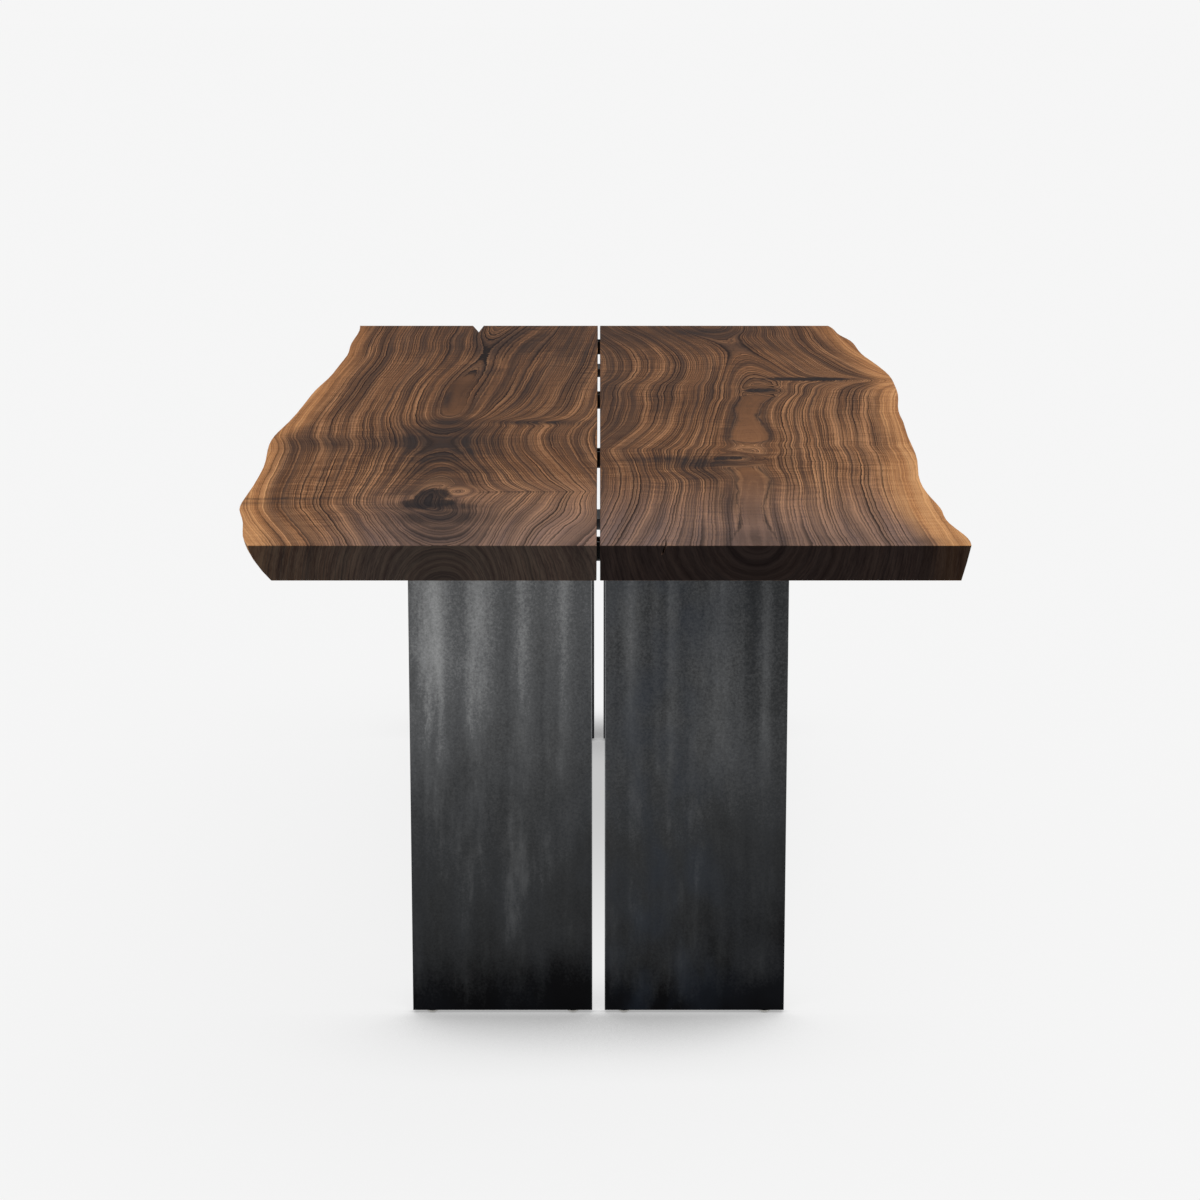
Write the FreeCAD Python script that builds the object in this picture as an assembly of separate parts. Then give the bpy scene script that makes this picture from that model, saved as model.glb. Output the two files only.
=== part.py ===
import FreeCAD, Part
import os

# Live edge dining table: two walnut slabs side by side on two pairs of steel plate legs.
# Millimetres, +Z up, floor at z = 0. +Y runs along the table with the near end at -Y, and +X is to the right
# seen from that end. The origin lies on the floor under the middle of the top.

# Table top
TABLE_LENGTH = 2400.0
TABLE_HEIGHT = 765.0
SLAB_THICKNESS = 46.0
SLAB_GAP = 4.5
LEFT_SLAB_WIDTH = 487.0
RIGHT_SLAB_WIDTH = 487.0
ARRIS_RADIUS = 1.5

# Live edges, from the near end to the far end. Each row is a station as a share of the length, how far the
# top edge wanders outside the slab's width, how far the bottom edge lies inside the top edge, and how far the
# bark side bulges beyond the straight line between them.
LEFT_LIVE_EDGE = [
    (0.000, -40.5, 30.0, 4.5),
    (0.053, -20.5, 29.0, 4.5),
    (0.100, -4.0, 27.0, 4.0),
    (0.125, 2.0, 26.0, 4.0),
    (0.160, 2.0, 25.0, 4.0),
    (0.215, 2.0, 24.0, 3.5),
    (0.270, 5.5, 24.0, 3.5),
    (0.320, 14.0, 26.0, 4.0),
    (0.375, 19.5, 28.0, 4.5),
    (0.425, 14.0, 27.0, 4.5),
    (0.485, 7.5, 24.0, 4.0),
    (0.560, 4.0, 22.0, 3.5),
    (0.605, 1.0, 21.0, 3.5),
    (0.645, -5.0, 20.0, 3.5),
    (0.685, -10.0, 20.0, 3.5),
    (0.735, -12.5, 21.0, 3.5),
    (0.850, -11.5, 23.0, 4.0),
    (0.940, -10.0, 24.0, 4.0),
    (1.000, -4.0, 25.0, 4.0),
]
RIGHT_LIVE_EDGE = [
    (0.000, -12.0, 12.0, 0.5),
    (0.055, -20.0, 12.0, 0.5),
    (0.095, -23.5, 13.0, 1.0),
    (0.130, -24.0, 14.0, 1.0),
    (0.180, -29.0, 15.0, 1.5),
    (0.215, -27.0, 16.0, 2.0),
    (0.250, -20.5, 17.0, 2.0),
    (0.300, -11.0, 18.0, 2.5),
    (0.360, -6.5, 19.0, 3.0),
    (0.460, 3.5, 20.0, 3.5),
    (0.535, 14.0, 22.0, 4.0),
    (0.580, 24.0, 24.0, 4.5),
    (0.620, 28.5, 26.0, 5.0),
    (0.660, 31.5, 27.0, 5.0),
    (0.700, 29.5, 26.0, 5.0),
    (0.745, 21.5, 24.0, 4.5),
    (0.795, 9.5, 22.0, 4.0),
    (0.840, 5.0, 20.0, 3.5),
    (0.885, 3.5, 19.0, 3.5),
    (0.920, -7.0, 18.0, 3.0),
    (0.960, -16.0, 17.0, 3.0),
    (1.000, -24.5, 16.0, 2.5),
]

# Drying checks: an open one at the far end of the left slab and a fine one at the near end of the right slab
FAR_CHECK_OFFSET = 247.0
FAR_CHECK_WIDTH = 26.0
FAR_CHECK_LENGTH = 112.0
FAR_CHECK_LEAN = 6.0
NEAR_CHECK_OFFSET = 95.0
NEAR_CHECK_WIDTH = 3.5
NEAR_CHECK_LENGTH = 64.0
NEAR_CHECK_DEPTH = 12.0
NEAR_CHECK_LEAN = 14.0

# Leg plates, two in a pair with a gap between them
LEG_INSET = 401.0
LEG_PLATE_WIDTH = 260.0
LEG_PLATE_THICKNESS = 12.0
LEG_PLATE_GAP = 18.0
LEG_PLATE_EDGE_RADIUS = 1.0
WELD_LEG = 5.0

# Head plates, let flush into the undersides of the slabs
HEAD_PLATE_LENGTH = 700.0
HEAD_PLATE_WIDTH = 80.0
HEAD_PLATE_THICKNESS = 15.0
HEAD_PLATE_CORNER_RADIUS = 8.0
HEAD_PLATE_CLEARANCE = 0.5
HEAD_BOLT_INNER_X = 62.0
HEAD_BOLT_END_MARGIN = 32.0
HEAD_BOLT_EDGE_MARGIN = 15.0
COUNTERBORE_DEPTH = 5.0

# Stiffening channels, open side up, let into slots in the undersides
END_CHANNEL_INSET = 124.0
MIDDLE_CHANNEL_INSET = 879.0
CHANNEL_WIDTH = 40.0
CHANNEL_HEIGHT = 26.0
CHANNEL_WALL = 5.0
CHANNEL_CORNER_RADIUS = 4.0
CHANNEL_RECESS = 5.0
CHANNEL_END_MARGIN = 98.0
CHANNEL_CLEARANCE = 0.5
CHANNEL_END_CLEARANCE = 3.0
CHANNEL_BOLT_INNER_X = 110.0
CHANNEL_BOLT_END_MARGIN = 62.0

# Low head machine screws and the threaded inserts that they go into
BOLT_DIAMETER = 8.0
BOLT_HEAD_DIAMETER = 16.0
BOLT_HEAD_HEIGHT = 4.4
BOLT_HOLE_CLEARANCE = 0.5
BOLT_SLOT_TRAVEL = 6.0
HEAD_BOLT_LENGTH = 25.0
CHANNEL_BOLT_LENGTH = 16.0
INSERT_DIAMETER = 12.0
INSERT_LENGTH = 18.0
INSERT_HOLE_SPARE = 2.0
THREAD_CLEARANCE = 0.05

# Levelling glides
GLIDE_DIAMETER = 16.0
GLIDE_HEIGHT = 4.0
GLIDE_RIM_HEIGHT = 1.5
GLIDE_FOOT_DIAMETER = 9.0
GLIDE_STUD_DIAMETER = 8.0
GLIDE_STUD_LENGTH = 22.0
GLIDE_HOLE_SPARE = 2.0
GLIDE_INSET = 28.0

# Levels and places that follow from the sizes above
HALF_LENGTH = TABLE_LENGTH / 2
UNDERSIDE = TABLE_HEIGHT - SLAB_THICKNESS
HEAD_PLATE_TOP = UNDERSIDE + HEAD_PLATE_THICKNESS
CHANNEL_BOTTOM = UNDERSIDE + CHANNEL_RECESS
WEB_TOP = CHANNEL_BOTTOM + CHANNEL_WALL
CHANNEL_TOP = CHANNEL_BOTTOM + CHANNEL_HEIGHT
LEG_Y = HALF_LENGTH - LEG_INSET
LEFT_REACH = LEFT_SLAB_WIDTH + max(row[1] for row in LEFT_LIVE_EDGE)
RIGHT_REACH = RIGHT_SLAB_WIDTH + max(row[1] for row in RIGHT_LIVE_EDGE)
GAP_CENTRE_X = (LEFT_REACH - RIGHT_REACH) / 2
CHANNEL_LEFT_END = GAP_CENTRE_X - SLAB_GAP / 2 - LEFT_SLAB_WIDTH + CHANNEL_END_MARGIN
CHANNEL_RIGHT_END = GAP_CENTRE_X + SLAB_GAP / 2 + RIGHT_SLAB_WIDTH - CHANNEL_END_MARGIN
COUNTERBORE_DIAMETER = BOLT_HEAD_DIAMETER + 2 * BOLT_HOLE_CLEARANCE
BOLT_HOLE_DIAMETER = BOLT_DIAMETER + 2 * BOLT_HOLE_CLEARANCE
CUT_MARGIN = 20.0
PARALLEL_TOLERANCE = 1e-6

LEFT, RIGHT = -1, 1
END_NAMES = {"near": -1, "far": 1}
SIDE_NAMES = {"left": LEFT, "right": RIGHT}
CHANNEL_PLACES = {
    "near_end_channel": END_CHANNEL_INSET - HALF_LENGTH,
    "near_middle_channel": MIDDLE_CHANNEL_INSET - HALF_LENGTH,
    "far_middle_channel": HALF_LENGTH - MIDDLE_CHANNEL_INSET,
    "far_end_channel": HALF_LENGTH - END_CHANNEL_INSET,
}


def point(x, y, z):
    return FreeCAD.Vector(x, y, z)


def block(x_pair, y_pair, z_pair):
    """Box between two places along each axis, given in any order."""
    low = [min(pair) for pair in (x_pair, y_pair, z_pair)]
    size = [abs(pair[1] - pair[0]) for pair in (x_pair, y_pair, z_pair)]
    return Part.makeBox(*size, point(*low))


def upright_cylinder(x, y, z, diameter, height):
    return Part.makeCylinder(diameter / 2, height, point(x, y, z))


def upright_slot(x, y, z, width, travel, height):
    """Round-ended slot along X, longer than it is wide by the travel."""
    radius = width / 2
    left, right = x - travel / 2, x + travel / 2
    front, back = y - radius, y + radius
    edges = [
        Part.LineSegment(point(left, front, z), point(right, front, z)),
        Part.Arc(point(right, front, z), point(right + radius, y, z), point(right, back, z)),
        Part.LineSegment(point(right, back, z), point(left, back, z)),
        Part.Arc(point(left, back, z), point(left - radius, y, z), point(left, front, z)),
    ]
    outline = Part.Wire([edge.toShape() for edge in edges])
    return Part.Face(outline).extrude(point(0, 0, height))


def upright_wedge(corners, z, height, drift):
    """Three-cornered prism whose bottom outline is moved along X by the drift."""
    wires = []
    for level, shift in ((z, drift), (z + height, 0.0)):
        ring = [point(x + shift, y, level) for x, y in corners]
        wires.append(Part.makePolygon(ring + ring[:1]))
    return Part.makeLoft(wires, True, True)


def turned(profile, x, y, z):
    """Solid of revolution about an upright axis, from a list of radius and height pairs."""
    ring = [point(radius, 0, height) for radius, height in profile]
    face = Part.Face(Part.makePolygon(ring + ring[:1]))
    solid = face.revolve(point(0, 0, 0), point(0, 0, 1), 360)
    solid.translate(point(x, y, z))
    return solid


def edges_along(solid, axis):
    """Straight edges of a solid that run along one axis."""
    lines = [edge for edge in solid.Edges if isinstance(edge.Curve, Part.Line)]
    return [edge for edge in lines if edge.Curve.Direction.cross(axis).Length < PARALLEL_TOLERANCE]


def live_section(side, y, wander, undercut, belly, width):
    """Closed section of a slab, oversize at the top, bottom and sawn edge, with the bark side as a parabola.

    At the share q of the thickness down from the top, the bark side lies inside the top edge by
    undercut * q - 4 * belly * q * (1 - q).
    """
    sawn_x = GAP_CENTRE_X + side * SLAB_GAP / 2
    top_edge_x = sawn_x + side * (width + wander)
    spare = CUT_MARGIN / SLAB_THICKNESS
    start, stop = -spare, 1 + spare

    def inset(q):
        return undercut * q - 4 * belly * q * (1 - q)

    slope = undercut - 4 * belly * (1 - 2 * start)
    levels = [start, (start + stop) / 2, stop]
    insets = [inset(start), inset(start) + slope * (stop - start) / 2, inset(stop)]
    poles = []
    for level, depth in zip(levels, insets):
        poles.append(point(top_edge_x - side * depth, y, TABLE_HEIGHT - level * SLAB_THICKNESS))
    bark = Part.BezierCurve()
    bark.setPoles(poles)
    back_x = sawn_x - side * CUT_MARGIN
    rest = Part.makePolygon([poles[2], point(back_x, y, poles[2].z), point(back_x, y, poles[0].z), poles[0]])
    return Part.Wire([bark.toShape()] + rest.Edges)


def live_edge_body(side, rows, width):
    """Loft through the sections of one slab, carried past both ends along the last slope."""
    def beyond(end_row, next_row):
        return tuple(2 * a - b for a, b in zip(end_row, next_row))

    rows = [beyond(rows[0], rows[1])] + rows + [beyond(rows[-1], rows[-2])]
    sections = []
    for share, wander, undercut, belly in rows:
        y = share * TABLE_LENGTH - HALF_LENGTH
        sections.append(live_section(side, y, wander, undercut, belly, width))
    return Part.makeLoft(sections, True, False)


def channel_seat(y):
    """Slots for the flanges, a shallower bed for the web and room at the ends, open to the underside."""
    ends = (CHANNEL_LEFT_END - CHANNEL_END_CLEARANCE, CHANNEL_RIGHT_END + CHANNEL_END_CLEARANCE)
    half = CHANNEL_WIDTH / 2 + CHANNEL_CLEARANCE
    tongue = CHANNEL_WIDTH / 2 - CHANNEL_WALL - CHANNEL_CLEARANCE
    slots = block(ends, (y - half, y + half), (UNDERSIDE - CUT_MARGIN, CHANNEL_TOP + CHANNEL_CLEARANCE))
    core = block(ends, (y - tongue, y + tongue), (WEB_TOP, CHANNEL_TOP + CUT_MARGIN))
    return slots.cut(core)


def head_plate_blank(y, clearance):
    """Flat bar with rounded corners across both slabs, grown by a clearance at its edges."""
    half_length = HEAD_PLATE_LENGTH / 2 + clearance
    half_width = HEAD_PLATE_WIDTH / 2 + clearance
    x_pair = (GAP_CENTRE_X - half_length, GAP_CENTRE_X + half_length)
    bar = block(x_pair, (y - half_width, y + half_width), (UNDERSIDE, HEAD_PLATE_TOP))
    return bar.makeFillet(HEAD_PLATE_CORNER_RADIUS + clearance, edges_along(bar, point(0, 0, 1)))


def head_bolt_places(y):
    """Places of the screws of one head plate: inner ones in round holes, outer ones in slots."""
    outer_x = HEAD_PLATE_LENGTH / 2 - HEAD_BOLT_END_MARGIN
    spread = HEAD_PLATE_WIDTH / 2 - HEAD_BOLT_EDGE_MARGIN
    places = []
    for side in SIDE_NAMES.values():
        for x, travel in ((HEAD_BOLT_INNER_X, 0.0), (outer_x, BOLT_SLOT_TRAVEL)):
            for across in (-spread, spread):
                places.append((GAP_CENTRE_X + side * x, y + across, travel))
    return places


def channel_bolt_places(y):
    """Places of the screws of one channel, all in slots."""
    inner_xs = (GAP_CENTRE_X - CHANNEL_BOLT_INNER_X, GAP_CENTRE_X + CHANNEL_BOLT_INNER_X)
    outer_xs = (CHANNEL_LEFT_END + CHANNEL_BOLT_END_MARGIN, CHANNEL_RIGHT_END - CHANNEL_BOLT_END_MARGIN)
    return [(x, y) for x in inner_xs + outer_xs]


def bolt_opening(x, y, z, diameter, travel, height):
    """Round hole, or a slot where the screw has to travel with the wood."""
    if travel:
        return upright_slot(x, y, z, diameter, travel, height)
    return upright_cylinder(x, y, z, diameter, height)


def head_plate(y):
    """Flat bar with counterbored screw holes from below."""
    plate = head_plate_blank(y, 0.0)
    cuts = []
    for x, bolt_y, travel in head_bolt_places(y):
        through = HEAD_PLATE_THICKNESS + 2 * CUT_MARGIN
        cuts.append(bolt_opening(x, bolt_y, UNDERSIDE - CUT_MARGIN, BOLT_HOLE_DIAMETER, travel, through))
        sunk = COUNTERBORE_DEPTH + CUT_MARGIN
        cuts.append(bolt_opening(x, bolt_y, UNDERSIDE - CUT_MARGIN, COUNTERBORE_DIAMETER, travel, sunk))
    return plate.cut(cuts)


def stiffening_channel(y):
    """Folded steel channel, open side up, with a slot in the web for each screw."""
    x_pair = (CHANNEL_LEFT_END, CHANNEL_RIGHT_END)
    half = CHANNEL_WIDTH / 2
    inner = half - CHANNEL_WALL
    outside = block(x_pair, (y - half, y + half), (CHANNEL_BOTTOM, CHANNEL_TOP))
    lower = [edge for edge in edges_along(outside, point(1, 0, 0)) if edge.CenterOfMass.z < WEB_TOP]
    outside = outside.makeFillet(CHANNEL_CORNER_RADIUS, lower)
    long_pair = (CHANNEL_LEFT_END - CUT_MARGIN, CHANNEL_RIGHT_END + CUT_MARGIN)
    inside = block(long_pair, (y - inner, y + inner), (WEB_TOP, CHANNEL_TOP + CUT_MARGIN))
    start_z = CHANNEL_BOTTOM - CUT_MARGIN
    depth = CHANNEL_WALL + 2 * CUT_MARGIN
    slots = []
    for x, bolt_y in channel_bolt_places(y):
        slots.append(upright_slot(x, bolt_y, start_z, BOLT_HOLE_DIAMETER, BOLT_SLOT_TRAVEL, depth))
    return outside.cut([inside] + slots)


def slab(side, rows, width):
    """Square-ended slab with one live edge, eased arrises and the housings for steel and inserts below."""
    sawn_x = GAP_CENTRE_X + side * SLAB_GAP / 2
    far_x = sawn_x + side * (width + max(row[1] for row in rows) + CUT_MARGIN)
    blank = block((sawn_x, far_x), (-HALF_LENGTH, HALF_LENGTH), (UNDERSIDE, TABLE_HEIGHT))
    plank = blank.common(live_edge_body(side, rows, width))
    arrises = edges_along(plank, point(1, 0, 0)) + edges_along(plank, point(0, 1, 0))
    plank = plank.makeFillet(ARRIS_RADIUS, arrises)
    cuts = [channel_seat(y) for y in CHANNEL_PLACES.values()]
    for end in END_NAMES.values():
        cuts.append(head_plate_blank(end * LEG_Y, HEAD_PLATE_CLEARANCE))
        cuts += [insert_hole(x, y, HEAD_PLATE_TOP) for x, y, travel in head_bolt_places(end * LEG_Y)]
    for channel_y in CHANNEL_PLACES.values():
        cuts += [insert_hole(x, y, WEB_TOP) for x, y in channel_bolt_places(channel_y)]
    return plank.cut(cuts + drying_checks(side))


def insert_hole(x, y, seat_z):
    """Drilled from the underside, past the face that the steel lies against."""
    depth = seat_z - UNDERSIDE + INSERT_LENGTH + INSERT_HOLE_SPARE
    return upright_cylinder(x, y, UNDERSIDE, INSERT_DIAMETER + 2 * THREAD_CLEARANCE, depth)


def drying_checks(side):
    """Natural splits that run in from the ends along the grain."""
    if side == LEFT:
        x = GAP_CENTRE_X - FAR_CHECK_OFFSET
        half = FAR_CHECK_WIDTH / 2
        tip = (x + FAR_CHECK_LEAN, HALF_LENGTH - FAR_CHECK_LENGTH)
        mouth_y = HALF_LENGTH + CUT_MARGIN
        corners = [tip, (x + half, mouth_y), (x - half, mouth_y)]
        through = SLAB_THICKNESS + 2 * CUT_MARGIN
        return [upright_wedge(corners, UNDERSIDE - CUT_MARGIN, through, FAR_CHECK_LEAN)]
    x = GAP_CENTRE_X + NEAR_CHECK_OFFSET
    half = NEAR_CHECK_WIDTH / 2
    mouth_y = -HALF_LENGTH - CUT_MARGIN
    corners = [(x + half, -HALF_LENGTH + NEAR_CHECK_LENGTH), (x - half, mouth_y), (x + half, mouth_y)]
    bottom = TABLE_HEIGHT - NEAR_CHECK_DEPTH
    return [upright_wedge(corners, bottom, NEAR_CHECK_DEPTH + CUT_MARGIN, -NEAR_CHECK_LEAN)]


def leg_plate(end, side):
    """Upright plate from the glides to the head plate, with a tapped hole for each glide in its foot."""
    inner = GAP_CENTRE_X + side * LEG_PLATE_GAP / 2
    outer = inner + side * LEG_PLATE_WIDTH
    y = end * LEG_Y
    half = LEG_PLATE_THICKNESS / 2
    plate = block((inner, outer), (y - half, y + half), (GLIDE_HEIGHT, UNDERSIDE))
    plate = plate.makeFillet(LEG_PLATE_EDGE_RADIUS, edges_along(plate, point(0, 0, 1)))
    depth = GLIDE_STUD_LENGTH + GLIDE_HOLE_SPARE + CUT_MARGIN
    diameter = GLIDE_STUD_DIAMETER + 2 * THREAD_CLEARANCE
    holes = []
    for x in glide_places(side).values():
        holes.append(upright_cylinder(x, y, GLIDE_HEIGHT - CUT_MARGIN, diameter, depth))
    return plate.cut(holes)


def glide_places(side):
    """Inner and outer glide of one leg plate, across the table."""
    inner = GAP_CENTRE_X + side * LEG_PLATE_GAP / 2
    return {"inner": inner + side * GLIDE_INSET, "outer": inner + side * (LEG_PLATE_WIDTH - GLIDE_INSET)}


def levelling_glide(x, y):
    """Tapered foot on a stud, screwed home against the plate."""
    rim = GLIDE_DIAMETER / 2
    foot = GLIDE_FOOT_DIAMETER / 2
    stud = GLIDE_STUD_DIAMETER / 2
    profile = [
        (0.0, 0.0),
        (foot, 0.0),
        (rim, GLIDE_HEIGHT - GLIDE_RIM_HEIGHT),
        (rim, GLIDE_HEIGHT),
        (stud, GLIDE_HEIGHT),
        (stud, GLIDE_HEIGHT + GLIDE_STUD_LENGTH),
        (0.0, GLIDE_HEIGHT + GLIDE_STUD_LENGTH),
    ]
    return turned(profile, x, y, 0.0)


def screw(x, y, seat_z, length):
    """Screw put in from below, its head against the seat."""
    profile = [
        (0.0, -BOLT_HEAD_HEIGHT),
        (BOLT_HEAD_DIAMETER / 2, -BOLT_HEAD_HEIGHT),
        (BOLT_HEAD_DIAMETER / 2, 0.0),
        (BOLT_DIAMETER / 2, 0.0),
        (BOLT_DIAMETER / 2, length),
        (0.0, length),
    ]
    return turned(profile, x, y, seat_z)


def insert(x, y, z):
    """Threaded sleeve flush with the face that the steel lies against."""
    sleeve = upright_cylinder(x, y, z, INSERT_DIAMETER, INSERT_LENGTH)
    return sleeve.cut(upright_cylinder(x, y, z, BOLT_DIAMETER + 2 * THREAD_CLEARANCE, INSERT_LENGTH))


def weld_seam(end, side, face):
    """Fillet weld in the corner between a leg plate and its head plate."""
    inner = GAP_CENTRE_X + side * LEG_PLATE_GAP / 2
    start_x = min(inner, inner + side * LEG_PLATE_WIDTH) + LEG_PLATE_EDGE_RADIUS
    root_y = end * LEG_Y + face * LEG_PLATE_THICKNESS / 2
    ring = [
        point(start_x, root_y, UNDERSIDE),
        point(start_x, root_y + face * WELD_LEG, UNDERSIDE),
        point(start_x, root_y, UNDERSIDE - WELD_LEG),
    ]
    run = LEG_PLATE_WIDTH - 2 * LEG_PLATE_EDGE_RADIUS
    return Part.Face(Part.makePolygon(ring + ring[:1])).extrude(point(run, 0, 0))


def build():
    """All pieces by node name."""
    parts = {
        "left_slab": slab(LEFT, LEFT_LIVE_EDGE, LEFT_SLAB_WIDTH),
        "right_slab": slab(RIGHT, RIGHT_LIVE_EDGE, RIGHT_SLAB_WIDTH),
    }
    for name, y in CHANNEL_PLACES.items():
        parts[name] = stiffening_channel(y)
    head_bolts, head_inserts, seams = [], [], []
    for end_name, end in END_NAMES.items():
        y = end * LEG_Y
        parts[end_name + "_head_plate"] = head_plate(y)
        for x, bolt_y, travel in head_bolt_places(y):
            head_bolts.append(screw(x, bolt_y, UNDERSIDE + COUNTERBORE_DEPTH, HEAD_BOLT_LENGTH))
            head_inserts.append(insert(x, bolt_y, HEAD_PLATE_TOP))
        for side_name, side in SIDE_NAMES.items():
            place = end_name + "_" + side_name
            parts[place + "_leg_plate"] = leg_plate(end, side)
            seams += [weld_seam(end, side, face) for face in (-1, 1)]
            for glide_name, x in glide_places(side).items():
                parts[place + "_" + glide_name + "_glide"] = levelling_glide(x, y)
    channel_bolts, channel_inserts = [], []
    for y in CHANNEL_PLACES.values():
        for x, bolt_y in channel_bolt_places(y):
            channel_bolts.append(screw(x, bolt_y, CHANNEL_BOTTOM, CHANNEL_BOLT_LENGTH))
            channel_inserts.append(insert(x, bolt_y, WEB_TOP))
    parts["head_plate_bolts"] = Part.makeCompound(head_bolts)
    parts["head_plate_inserts"] = Part.makeCompound(head_inserts)
    parts["channel_bolts"] = Part.makeCompound(channel_bolts)
    parts["channel_inserts"] = Part.makeCompound(channel_inserts)
    parts["leg_weld_seams"] = Part.makeCompound(seams)
    return parts


os.makedirs("parts", exist_ok=True)
for node, shape in build().items():
    shape.exportStep("parts/" + node + ".step")
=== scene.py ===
"""Looks of the live edge dining table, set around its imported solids.

Two walnut slabs stand on four blued steel plates. Lengths are in metres, or in mm where a name ends in MM.
X runs across the table, Y along it from the near end to the far end, and Z is up.
"""
import math

import bpy
import numpy as np
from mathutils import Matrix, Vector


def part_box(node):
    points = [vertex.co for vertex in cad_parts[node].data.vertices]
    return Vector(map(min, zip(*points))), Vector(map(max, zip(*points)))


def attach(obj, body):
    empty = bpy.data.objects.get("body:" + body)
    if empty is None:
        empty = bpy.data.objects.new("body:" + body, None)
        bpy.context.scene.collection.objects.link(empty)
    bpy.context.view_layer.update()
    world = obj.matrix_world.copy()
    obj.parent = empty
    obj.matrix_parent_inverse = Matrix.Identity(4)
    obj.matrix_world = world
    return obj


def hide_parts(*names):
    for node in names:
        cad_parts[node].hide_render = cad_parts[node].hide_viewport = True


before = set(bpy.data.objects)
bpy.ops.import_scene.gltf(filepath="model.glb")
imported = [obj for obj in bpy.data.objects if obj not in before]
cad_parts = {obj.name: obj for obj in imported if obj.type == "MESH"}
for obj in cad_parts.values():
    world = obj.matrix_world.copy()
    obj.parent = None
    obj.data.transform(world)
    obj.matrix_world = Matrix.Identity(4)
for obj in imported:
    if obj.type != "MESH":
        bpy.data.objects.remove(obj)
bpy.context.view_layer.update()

MM = 0.001


def in_mm(length):
    """A length of the frame in mm, to a hundredth."""
    return round(length / MM, 2)


# Sizes and places of the solids, from the frame.
slab_low, slab_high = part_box("left_slab")
left_leg_low, left_leg_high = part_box("far_left_leg_plate")
right_leg_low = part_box("far_right_leg_plate")[0]
TABLE_LENGTH = in_mm(slab_high[1] - slab_low[1]) * MM
TOP_HEIGHT = in_mm(slab_high[2]) * MM
GAP_CENTRE_X_MM = in_mm((left_leg_high[0] + right_leg_low[0]) / 2)
GAP_CENTRE_X = GAP_CENTRE_X_MM * MM
UNDERSIDE_MM = in_mm(left_leg_high[2])
LEG_Y_MM = in_mm((left_leg_low[1] + left_leg_high[1]) / 2)
LEG_GAP_MM = in_mm(right_leg_low[0] - left_leg_high[0])
LEG_WIDTH_MM = in_mm(left_leg_high[0] - left_leg_low[0])
LEG_THICKNESS_MM = in_mm(left_leg_high[1] - left_leg_low[1])

# Screws: their places, and the profile of the head and of its socket.
HEAD_SCREW_X_MM = (-318, -62, 62, 318)
HEAD_SCREW_Y_MM = (-25, 25)
CHANNEL_SCREW_X_MM = (-335.25, -116, 104, 323.25)
CHANNEL_Y_MM = (-1076, -321, 321, 1076)
SCREW_SEAT_MM = 724
HEAD_SCREW_LENGTH_MM = 25.0
CHANNEL_SCREW_LENGTH_MM = 16.0
SCREW_RADIUS_MM = 4.0
SCREW_TIP_RADIUS_MM = 3.2
SCREW_TIP_LENGTH_MM = 0.9
HEAD_RADIUS_MM = 8.0
HEAD_HEIGHT_MM = 4.4
HEAD_BEVEL_MM = 0.9
HEAD_BEVEL_START = 1 / 3
KEY_SIZE_MM = 5.0
SOCKET_DEPTH_MM = 2.6
SOCKET_BEVEL_MM = 0.3
SOCKET_POINT_MM = 0.4
SOCKET_POINT_RADIUS_MM = 0.8
SCREW_SIDES = 48
SHARP_DEGREES = 32

# Weld beads: sizes, counts of points, and shares of the bead's size.
WELD_LEG_MM = 5.0
WELD_RUN_MM = 258.0
WELD_STATIONS = 345
WELD_POINTS = 9
WELD_PITCH_MM = 3.2
WELD_CURVE = 0.35
WELD_ROUND = 0.45
WELD_RIPPLE = 0.11
WELD_DRIFT = 0.03
WELD_DRIFT_MM = 37.0
WELD_END = 0.55
WELD_SUNK_MM = 0.15

# The figure was read on slabs a little wider. The solids have this share of that width.
FIGURE_SHARE = 0.978

# Figure of each slab, read every so often along it. Columns, in mm: station from the near end, then the
# distance from the gap's centre line of the pith line, of one growth line to the left of it, of one to the
# right of it and of the border of the sapwood, then the depth of the pith line out of the surface, and last
# the distance from the pith within which the wood is plain, without lines.
LEFT_FIGURE_MM = (
    (0, -203, -375, -128, -430, 78, 0),
    (60, -206, -386, -125, -437, 66, 0),
    (120, -211, -399, -122, -444, 52, 0),
    (180, -216, -412, -115, -452, 38, 0),
    (235, -222, -423, -109, -460, 24, 0),
    (270, -232, -430, -104, -464, 10, 0),
    (325, -241, -437, -96, -468, 3, 0),
    (375, -240, -441, -89, -473, 5, 0),
    (405, -237, -443, -84, -476, 8, 0),
    (425, -236, -444, -92, -477, 12, 0),
    (480, -233, -447, -111, -480, 24, 0),
    (570, -234, -450, -127, -484, 38, 0),
    (640, -240, -453, -136, -486, 48, 0),
    (690, -244, -456, -142, -488, 55, 0),
    (725, -246, -458, -146, -489, 59, 0),
    (790, -248, -462, -152, -490, 65, 0),
    (870, -250, -473, -158, -494, 68, 0),
    (925, -250, -482, -161, -494, 65, 0),
    (990, -250, -482, -160, -485, 56, 0),
    (1050, -250, -481, -147, -476, 44, 18),
    (1175, -250, -478, -115, -471, 27, 32),
    (1380, -250, -472, -89, -467, 25, 30),
    (1580, -240, -467, -73, -462, 25, 29),
    (1680, -233, -465, -66, -459, 26, 28),
    (1750, -228, -464, -62, -459, 28, 24),
    (1860, -222, -463, -55, -460, 31, 12),
    (2000, -218, -463, -46, -461, 32, 0),
    (2120, -216, -464, -40, -464, 29, 0),
    (2260, -213, -464, -33, -467, 20, 0),
    (2400, -206, -464, -25, -469, 9, 0),
)
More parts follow.
